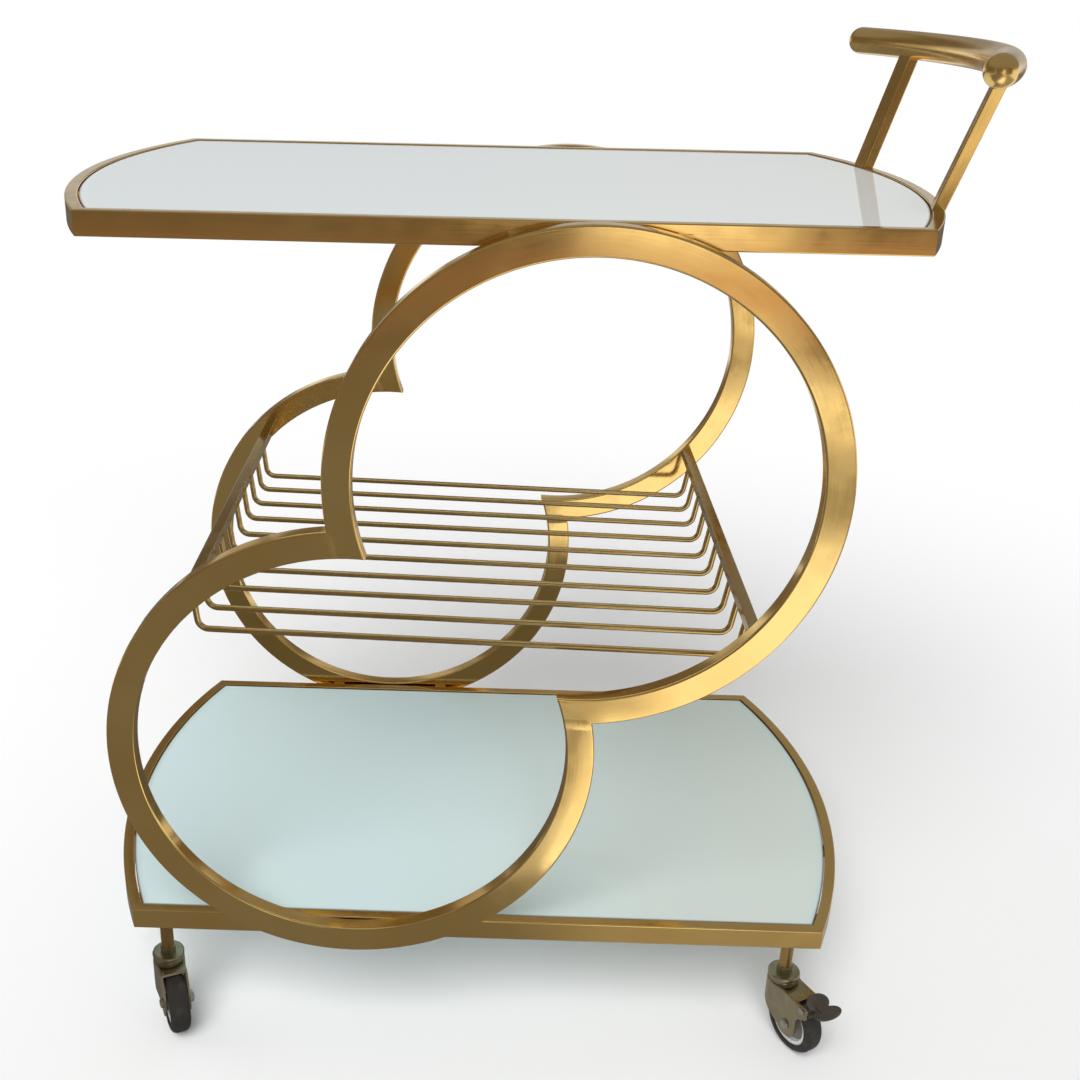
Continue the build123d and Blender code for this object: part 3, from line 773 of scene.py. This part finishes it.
# %% [markdown]
# ## Caster finishes
# The casters are bought parts: forks and cups of warm nickel, a grey moulded hub with a pale ring, a black
# rubber tyre and a dark brown pedal. Each finish is a plain base with the small unevenness that its process
# leaves. The hub's ring is noted on its vertices, and the finish reads that note.

# %% Nickel and steel
cloud_lumps, cloud_dull = 70.0, 0.05
mark_lines, mark_depth, mark_dull = 1500.0, 0.000003, 0.06


def metal(name, slot, light, dark, roughness):
    """Pressed metal with cloudy plating and fine rolling marks."""
    material, shader, place = surface(name, slot)
    clouds = step(noise(place, cloud_lumps), 0.3, 0.75)
    marks = noise(stretch(place, (1, 1, 0.1)), mark_lines)
    feed(shader, {
        "Base Color": blend(clouds, dark, light),
        "Metallic": 1.0,
        "Roughness": roughness + cloud_dull * (1 - clouds) + mark_dull * (marks - 0.5),
        "Normal": bump(marks, mark_depth),
    })
    return material


nickel = metal("nickel_plate", "nickel", (0.48, 0.44, 0.31), (0.39, 0.355, 0.24), 0.2)
steel = metal("bright_steel", "steel", (0.62, 0.61, 0.58), (0.48, 0.47, 0.44), 0.28)
print("metals:", nickel.name, steel.name)

# %% Plastics, rubber and silicone
patch_lumps, patch_dull, grain_lumps, grain_dull = 90.0, 0.15, 2200.0, 0.06
hub_rough, hub_grain = 0.4, 0.00001
# Painted shade: the recessed dish inside the pale ring is coloured dark, with dirt patches on it.
dish_shade_clean, dish_shade_dirty = (0.17, 0.16, 0.14), (0.12, 0.11, 0.09)
ring_clean, ring_dirty = (0.66, 0.67, 0.66), (0.58, 0.58, 0.56)


def moulded(name, slot, colour, worn, roughness, grain_depth):
    """Moulded plastic or rubber: fine grain, and dull patches where it is handled."""
    material, shader, place = surface(name, slot)
    patches = step(noise(place, patch_lumps, 4), 0.45, 0.75)
    grain = noise(place, grain_lumps)
    feed(shader, {
        "Base Color": blend(patches, colour, worn),
        "Roughness": roughness + patch_dull * patches + grain_dull * (grain - 0.5),
        "Normal": bump(grain, grain_depth),
    })
    return material


def hub_plastic():
    """Grey moulded plastic: pale on the ring under the tyre, painted shade in the dish, and dirt patches on
    both.
    """
    material, shader, place = surface("grey_hub", "grey_plastic")
    ring = place.node("ShaderNodeAttribute", {"attribute_name": "pale_ring"}, {}, out="Fac")
    dirt = step(noise(place, patch_lumps, 4), 0.45, 0.75)
    grain = noise(place, grain_lumps)
    feed(shader, {
        "Base Color": blend(ring, blend(dirt, dish_shade_clean, dish_shade_dirty), blend(dirt, ring_clean, ring_dirty)),
        "Roughness": hub_rough + patch_dull * dirt,
        "Normal": bump(grain, hub_grain),
    })
    return material


rubber = moulded("black_rubber", "tyre", (0.021, 0.0185, 0.0155), (0.046, 0.040, 0.033), 0.5, 0.00003)
pedal_plastic = moulded("brown_pedal", "pedal_plastic", (0.042, 0.035, 0.027), (0.060, 0.051, 0.040),
                        0.42, 0.00002)
silicone = moulded("clear_silicone", "pad", (0.76, 0.76, 0.73), (0.66, 0.66, 0.63), 0.35, 0.00001)
print("finishes so far:", len(bpy.data.materials))

# %% [markdown]
# ## Turned parts of the casters
# Tyre, hub, cup and stem tube are all turned shapes. An outline drawn vertex by vertex and spun once round
# is how a lathe would cut them, and a Bevel modifier then rounds the corners. Each is made once at the origin
# and copied to the four corners, with its own mesh each time.

# %% A lathe, and where the casters stand
lathe_steps = 64
speck = 0.001


def lathe(outline, rounding):
    """Spin a closed outline of (radius, height) points about Z and round its corners."""
    begin(bpy.ops.mesh.primitive_plane_add, size=speck)
    bpy.ops.mesh.merge(type="CENTER")
    bpy.ops.transform.translate(value=(outline[0][0], 0, outline[0][1]))
    for (radius, height), (next_radius, next_height) in zip(outline, outline[1:] + outline[:1]):
        pull((next_radius - radius, 0, next_height - height))
    bpy.ops.mesh.select_all(action="SELECT")
    sweep_round((0, 0, 0), (0, 0, 1), 2 * pi, lathe_steps)
    piece = close_up()
    soften(piece, rounding, segments=3)
    polish(piece)
    return piece


def copies(piece, count):
    """A piece and enough copies of it, each with a mesh of its own."""
    made = [piece]
    for _ in range(count - 1):
        twin = piece.copy()
        twin.data = piece.data.copy()
        bpy.context.scene.collection.objects.link(twin)
        made.append(twin)
    return made


joints = {joint["name"]: joint for joint in frame["joints"]}
caster_names = [name.removesuffix("_wheel_spin") for name in joints if name.endswith("_wheel_spin")]
caster_places = {}
wheel_places = {}
for name in caster_names:
    stem = Vector(joints[f"{name}_swivel_turn"]["pos_m"])
    axle = Vector(joints[f"{name}_wheel_spin"]["pos_m"])
    trail = axle - stem
    turned = Matrix.Rotation(atan2(trail.y, trail.x), 4, "Z")
    caster_places[name] = Matrix.Translation((stem.x, stem.y, 0)) @ turned
    wheel_places[name] = Matrix.Translation(axle) @ turned @ Matrix.Rotation(pi / 2, 4, "X")
print("casters:", caster_names)

# %% Tyres and hubs
round_points = 10
tyre_outer, tyre_inner, tyre_half, tyre_shoulder = 0.030, 0.022, 0.0095, 0.0065
hub_ring, hub_web, hub_boss, hub_bore = 0.0185, 0.003, 0.008, 0.00305
hub_ring_half, hub_boss_half = 0.0075, 0.010
wheel_round, ring_margin = 0.0005, 0.0003


def rounded(radius, height, rounding, start):
    """Points of a quarter circle inside the corner at (radius, height), anticlockwise from a start."""
    turns = [radians(start + 90 * i / round_points) for i in range(round_points + 1)]
    middle = radians(start + 45)
    centre_radius = radius - rounding * (1 if cos(middle) > 0 else -1)
    centre_height = height - rounding * (1 if sin(middle) > 0 else -1)
    return [(centre_radius + rounding * cos(turn), centre_height + rounding * sin(turn)) for turn in turns]


def mark(piece, name, test):
    """Note on each vertex of a piece whether its place passes a test, for a finish to read."""
    notes = piece.data.attributes.new(name, "FLOAT", "POINT")
    for vertex in piece.data.vertices:
        notes.data[vertex.index].value = test(vertex.co)


tyre_outline = [(tyre_inner, -tyre_half), *rounded(tyre_outer, -tyre_half, tyre_shoulder, -90),
                *rounded(tyre_outer, tyre_half, tyre_shoulder, 0), (tyre_inner, tyre_half)]
half_hub = [(hub_bore, hub_boss_half), (hub_boss, hub_boss_half), (hub_boss, hub_web), (hub_ring, hub_web),
            (hub_ring, hub_ring_half), (tyre_inner, hub_ring_half)]
hub_outline = half_hub + [(radius, -height) for radius, height in reversed(half_hub)]

turned_tyre = lathe(tyre_outline, wheel_round)
turned_hub = lathe(hub_outline, wheel_round)
mark(turned_hub, "pale_ring", lambda at: at.to_2d().length > hub_ring - ring_margin)
for part, turned, finish in (("tyre", turned_tyre, rubber), ("wheel_hub", turned_hub, hub_plastic())):
    for name, turning in zip(caster_names, copies(turned, len(caster_names))):
        set_down(turning, wheel_places[name])
        hand_over(turning, f"{name}_{part}_turned", f"{name}_{part}", finish)
    print(part, len(turning.data.polygons), "faces each")

# %% Cups and stem tubes
cup_low, cup_high = (corner.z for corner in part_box("caster_swivel_cups"))
tube_low, tube_high = (corner.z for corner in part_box("caster_stem_tubes"))
cup_outer, cup_bore, cup_wall = 0.0150, 0.00405, 0.0024
cup_shoulder, cup_lip = 0.0020, 0.0012
tube_outer, tube_bore = 0.006, 0.0043
cup_round, tube_round = 0.0003, 0.0004
# Painted shade: the stem tubes get a darker copy of the frame's gold.
stem_shaded_warm, stem_shaded_pale = (0.47, 0.29, 0.10), (0.52, 0.36, 0.14)

cup_inside = cup_high - cup_wall
cup_outline = [(cup_bore, cup_inside), (cup_outer - cup_wall, cup_inside), (cup_outer - cup_wall, cup_low),
               *rounded(cup_outer, cup_low, cup_lip, -90), *rounded(cup_outer, cup_high, cup_shoulder, 0),
               (cup_bore, cup_high)]
tube_outline = [(tube_bore, tube_low), (tube_outer, tube_low),
                (tube_outer, tube_high), (tube_bore, tube_high)]

shaded_stem_gold = gold("gold_stem_tubes", lines_along((0, 0, 1)), 0.24, stem_shaded_warm, stem_shaded_pale)
for part, outline, rounding, finish in (("swivel_cups", cup_outline, cup_round, nickel),
                                        ("stem_tubes", tube_outline, tube_round, shaded_stem_gold)):
    turned_parts = copies(lathe(outline, rounding), len(caster_names))
    for name, turning in zip(caster_names, turned_parts):
        set_down(turning, caster_places[name])
    hand_over(join(turned_parts), f"caster_{part}_turned", f"caster_{part}", finish)
    print(part, "made")

# %% [markdown]
# ## Pressed and forged parts of the casters
# Fork, stem, axle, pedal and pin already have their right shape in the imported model, but their edges are
# knife-sharp. A copy of the mesh is merged, its flat faces are cleaned, and a fine bevel breaks the edges so
# that they catch the light.

# %% Forks, stems, axles, pedals and pins
face_flatness = radians(1)


def eased_copy(node, rounding):
    """A copy of a node's mesh, merged, with its sharp edges broken."""
    piece = bpy.data.objects.new(node, frame["nodes"][node].data.copy())
    bpy.context.scene.collection.objects.link(piece)
    take_up(piece)
    bpy.ops.object.mode_set(mode="EDIT")
    bpy.ops.mesh.select_all(action="SELECT")
    bpy.ops.mesh.remove_doubles(threshold=merge_distance)
    bpy.ops.mesh.dissolve_limited(angle_limit=face_flatness)
    bpy.ops.object.mode_set(mode="OBJECT")
    soften(piece, rounding, angle=40)
    polish(piece)
    return piece


eased = {"fork": (nickel, 0.0004), "caster_stem": (nickel, 0.0003), "axle": (steel, 0.0003),
         "brake_pedal": (pedal_plastic, 0.0005), "pedal_pin": (steel, 0.0002)}
for name in caster_names:
    for part, (finish, rounding) in eased.items():
        node = f"{name}_{part}"
        if node in frame["nodes"]:
            hand_over(eased_copy(node, rounding), f"{node}_eased", node, finish)
print("eased parts on", len(caster_names), "casters")

# %% [markdown]
# ## Parts that stay as they are
# Blocks, bolts, lugs, pads, plates and nuts are plain shapes that hide under the trays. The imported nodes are
# right as they stand, so they only get their finishes.

# %% Finishes of the hidden parts
plate_gold = gold("gold_plates", lines_along((1, 0, 0)), roughness=0.24)
kept = {"frame_blocks": plate_gold, "frame_bolts": steel, "caster_corner_plates": plate_gold,
        "caster_stem_nuts": nickel, "caster_thrust_washers": silicone,
        "top_glass_lugs": plate_gold, "bottom_glass_lugs": plate_gold,
        "top_glass_pads": silicone, "bottom_glass_pads": silicone}
for node, finish in kept.items():
    for slot in frame["nodes"][node].material_slots:
        slot.material = finish
print("kept nodes:", len(kept))

# %% [markdown]
# ## Camera
# The camera stands where the photograph was taken: close in front, looking down on the trolley, a hair out
# of level, with the frame a little off the lens's axis.

# %% The photograph's viewpoint
image_width = 1080
focal_pixels = 1328.7
lens_axis = (463.8, 523.5)
camera_place = (-0.02898, -1.20479, 0.95185)
yaw, pitch, roll = radians(-0.955), radians(22.989), radians(1.183)

camera = bpy.data.cameras.new("camera")
camera.sensor_width = 36
camera.lens = focal_pixels / image_width * camera.sensor_width
camera.shift_x = 0.5 - lens_axis[0] / image_width
camera.shift_y = lens_axis[1] / image_width - 0.5
viewer = bpy.data.objects.new("camera", camera)
looking = Euler((pi / 2 - pitch, 0, -yaw)).to_matrix() @ Matrix.Rotation(roll, 3, "Z")
viewer.matrix_world = Matrix.Translation(camera_place) @ looking.to_4x4()
bpy.context.scene.collection.objects.link(viewer)
bpy.context.scene.camera = viewer
print("lens", round(camera.lens, 2), "mm")

# %% [markdown]
# ## Floor
# The floor is pale and plain, and it takes the trolley's shadow. Further out it turns to white, so the
# trolley stands on a white ground from every side. The white is an emission that only the camera, mirrors
# and glass see. It adds no light to the trolley.

# %% The floor
def light_path(tree):
    """1 for what the camera sees, straight or in a mirror or through glass, and 0 for light on its way."""
    node = tree.nodes.new("ShaderNodeLightPath")
    rays = [Tone(tree, node.outputs[f"Is {kind} Ray"]) for kind in ("Camera", "Glossy", "Transmission")]
    return step(rays[0] + rays[1] + rays[2], 0.0, 1.0)


floor_size = 60.0
shade_reach, white_from = 0.7, 1.7
begin(bpy.ops.mesh.primitive_plane_add, size=floor_size)
bpy.ops.object.mode_set(mode="OBJECT")
floor = bpy.context.object
floor.name = "floor"
floor_finish, floor_shader, on_floor = surface("pale_floor", "floor")
feed(floor_shader, {"Base Color": (0.90, 0.90, 0.90, 1), "Roughness": 0.9, "Specular IOR Level": 0.1})
x, y, _ = axes(on_floor)
far_out = step((x * x + y * y) ** 0.5, shade_reach, white_from)
floor_tree = floor_finish.node_tree
white = on_floor.node("ShaderNodeEmission", {}, {"Color": (1, 1, 1, 1), "Strength": 1.0})
ground = on_floor.node("ShaderNodeMixShader", {}, {
    0: far_out * light_path(floor_tree), 1: Tone(floor_tree, floor_shader.outputs[0]), 2: white})
floor_tree.links.new(ground.socket, floor_tree.nodes["Material Output"].inputs["Surface"])
floor.data.materials.append(floor_finish)
print("floor", floor_size, "m wide")

# %% [markdown]
# ## Light
# A broad soft key from the front, well above the trolley, a fill from the left and a pale sky light the glass
# and the floor. Polished metal shows the room rather than itself, and the photograph's room has daylight that
# falls through a doorway at the right on to the floor. Two flat lamps lie there, face up. The camera and
# mirrors see the sky as plain white, and only as a source of light does it fade towards the top.

# %% Key, fill and daylight on the floor
def lamp(name, kind, location, turn, **settings):
    """A lamp that doesn't show in the picture itself. Unturned, it looks down."""
    light = bpy.data.lights.new(name, kind)
    for setting, value in settings.items():
        setattr(light, setting, value)
    holder = bpy.data.objects.new(name, light)
    holder.location = location
    holder.rotation_euler = [radians(angle) for angle in turn]
    holder.visible_camera = False
    bpy.context.scene.collection.objects.link(holder)
    return holder


def strip_light(name, location, turn, width, height, level):
    """A flat lamp whose face has a brightness level, where 1 is white."""
    return lamp(name, "AREA", location, turn, shape="RECTANGLE", size=width, size_y=height,
                energy=level * pi * width * height)


key_share, key_tilt, key_softness = 0.58, 40, 40
key = lamp("soft_key", "SUN", (-0.9, -2.2, 2.9), (key_tilt, 0, -15), angle=radians(key_softness),
           energy=key_share * pi / cos(radians(key_tilt)))
key.visible_glossy = False
fill = strip_light("soft_fill", (-1.7, 0.4, 0.6), (90, 0, -90), 1.4, 0.9, 1.4)
fill.visible_glossy = False
strip_light("door_sill", (0.445, -0.935, 0.01), (180, 0, 15), 0.54, 1.07, 1.05)
strip_light("far_sill", (0.78, -2.2, 0.01), (180, 0, 10), 0.30, 0.50, 1.1)

# %% Sky
world = bpy.data.worlds.new("white_horizon")
world.use_nodes = True
bpy.context.scene.world = world
sky_tree = world.node_tree
sky_place = sky_tree.nodes.new("ShaderNodeTexCoord")
height = axes(Tone(sky_tree, sky_place.outputs["Generated"]))[2]
zenith_level, zenith_from = 0.40, 0.22
strength = 1 - (1 - zenith_level) * step(height, 0.0, zenith_from) * (1 - light_path(sky_tree))
sky_tree.links.new(strength.socket, sky_tree.nodes["Background"].inputs["Strength"])
sky_tree.nodes["Background"].inputs["Color"].default_value = (1, 1, 1, 1)
bpy.context.scene.view_settings.view_transform = "Standard"
print("sky", world.name, "falls to", zenith_level, "overhead")

# %% [markdown]
# ## Cards
# Cards give the rest of the room its tones: dark walls towards the viewer, a bright doorway and a window in
# them, a dim floor, and a paler haze at the back for the glass to mirror. Only polished metal and glass see a
# card, and only from its face, so it hides nothing and throws no shadow. Each one was placed by following a
# line of sight from the camera to a tube's face, and on to the place that the face mirrors.

# %% A card
def card(name, centre, turn, width, height, tone, fade=0.05, right_tone=None, change=(0.05, 0.35)):
    """A card with soft edges, of one tone or of two that change softly between two places along X."""
    begin(bpy.ops.mesh.primitive_plane_add, size=1, location=centre, rotation=turn,
          scale=(width, height, 1))
    bpy.ops.object.mode_set(mode="OBJECT")
    piece = bpy.context.object
    piece.name = name
    finish, shader, place = surface(name, "card")
    turned = Euler(turn).to_matrix()
    opacity = 1 - place.node("ShaderNodeNewGeometry", {}, {}, out="Backfacing")
    for direction, size in ((turned.col[0], width), (turned.col[1], height)):
        out = size_of(along(away_from(place, centre), direction))
        opacity = (1 - step(out, size / 2 - fade, size / 2)) * opacity
    glow = blend(step(axes(place)[0], *change), tone, right_tone) if right_tone else (*tone, 1.0)
    feed(shader, {"Base Color": (0, 0, 0, 1), "Specular IOR Level": 0.0, "Emission Strength": 1.0,
                  "Emission Color": glow, "Alpha": opacity})
    piece.data.materials.append(finish)
    piece.visible_camera = piece.visible_diffuse = piece.visible_shadow = False


# %% Cards for the metal to reflect
flat, downward, to_right = (0, 0, 0), (pi, 0, 0), (pi / 2, 0, pi / 2)
to_front, to_rear = (pi / 2, 0, 0), (pi / 2, 0, pi)
dark, dim, dusk = (0.13, 0.12, 0.10), (0.16, 0.13, 0.10), (0.20, 0.19, 0.18)
grey, mild, pale_dusk = (0.28, 0.27, 0.26), (0.45, 0.41, 0.36), (0.38, 0.36, 0.33)
haze, half, bright = (0.55, 0.55, 0.55), (0.64, 0.64, 0.66), (1.30, 1.24, 1.15)
warm = (1.0, 0.88, 0.70)
tray_gap = 0.0008
on_tray = Vector((trays["bottom"].middle, 0, trays["bottom"].high + tray_gap))

card("front_floor_card", (-0.25, -1.175, 0.003), flat, 4.5, 3.15, dusk,
     right_tone=pale_dusk, change=(-0.02, 0.14))
card("sill_side_card", (0.02, -0.67, 0.006), flat, 0.16, 0.42, half)
card("sill_corner_card", (0.14, -0.87, 0.014), flat, 0.18, 0.13, half, fade=0.03)
card("front_wall_card", (0.5, -2.6, 1.05), to_rear, 7.0, 2.3, (0.17, 0.14, 0.12),
     right_tone=(0.20, 0.16, 0.13))
card("doorway_card", (0.44, -2.4, 0.7), to_rear, 0.60, 1.4, bright, fade=0.12)
card("warm_band_card", (-0.25, -2.38, 0.24), to_rear, 5.5, 0.21, (0.30, 0.20, 0.16),
     right_tone=(0.72, 0.47, 0.34))
card("window_card", (0.02, -2.45, 0.68), to_rear, 0.40, 0.48, warm, fade=0.06)
card("rear_floor_card", (-1.4, 1.5, 0.003), flat, 3.6, 1.8, dusk, fade=0.2)
card("rear_low_card", (0.0, 2.5, 0.30), to_front, 8.0, 0.8, dim, fade=0.2)
card("rear_right_card", (0.66, 2.5, 0.65), to_front, 0.70, 0.80, dim, fade=0.1)
card("rear_left_card", (-2.65, 2.6, 1.95), to_front, 2.7, 1.5, dim, fade=0.15)
card("rear_left_low_card", (-2.65, 2.55, 0.95), to_front, 2.7, 0.8, mild, fade=0.2)
card("rear_high_card", (-0.35, 2.6, 1.98), to_front, 1.9, 1.24, dim,
     right_tone=(0.36, 0.34, 0.31), change=(-0.4, 0.6))
card("rear_haze_card", (0.0, 2.65, 1.18), to_front, 2.7, 0.42, haze, fade=0.06)
card("rear_far_card", (1.85, 2.6, 0.57), to_front, 1.2, 0.56, dusk, fade=0.12)
card("rear_far_haze_card", (1.9, 2.63, 1.1), to_front, 1.3, 0.66, haze, fade=0.08)
card("rear_right_floor_card", (1.1, 1.75, 0.003), flat, 1.0, 1.1, dusk, fade=0.15)
card("left_wall_card", (-3.2, 0.0, 1.1), to_right, 5.2, 3.0, dim, fade=0.3)
card("ceiling_card", (0.0, 0.0, 2.9), downward, 40.0, 40.0, grey, fade=10.0)
# Painted shade: a dark card just over the bottom glass, so that polished metal mirrors the glass dark.
card("lower_tray_shade_card", on_tray, flat, 0.72, 0.412, dark, fade=0.003)
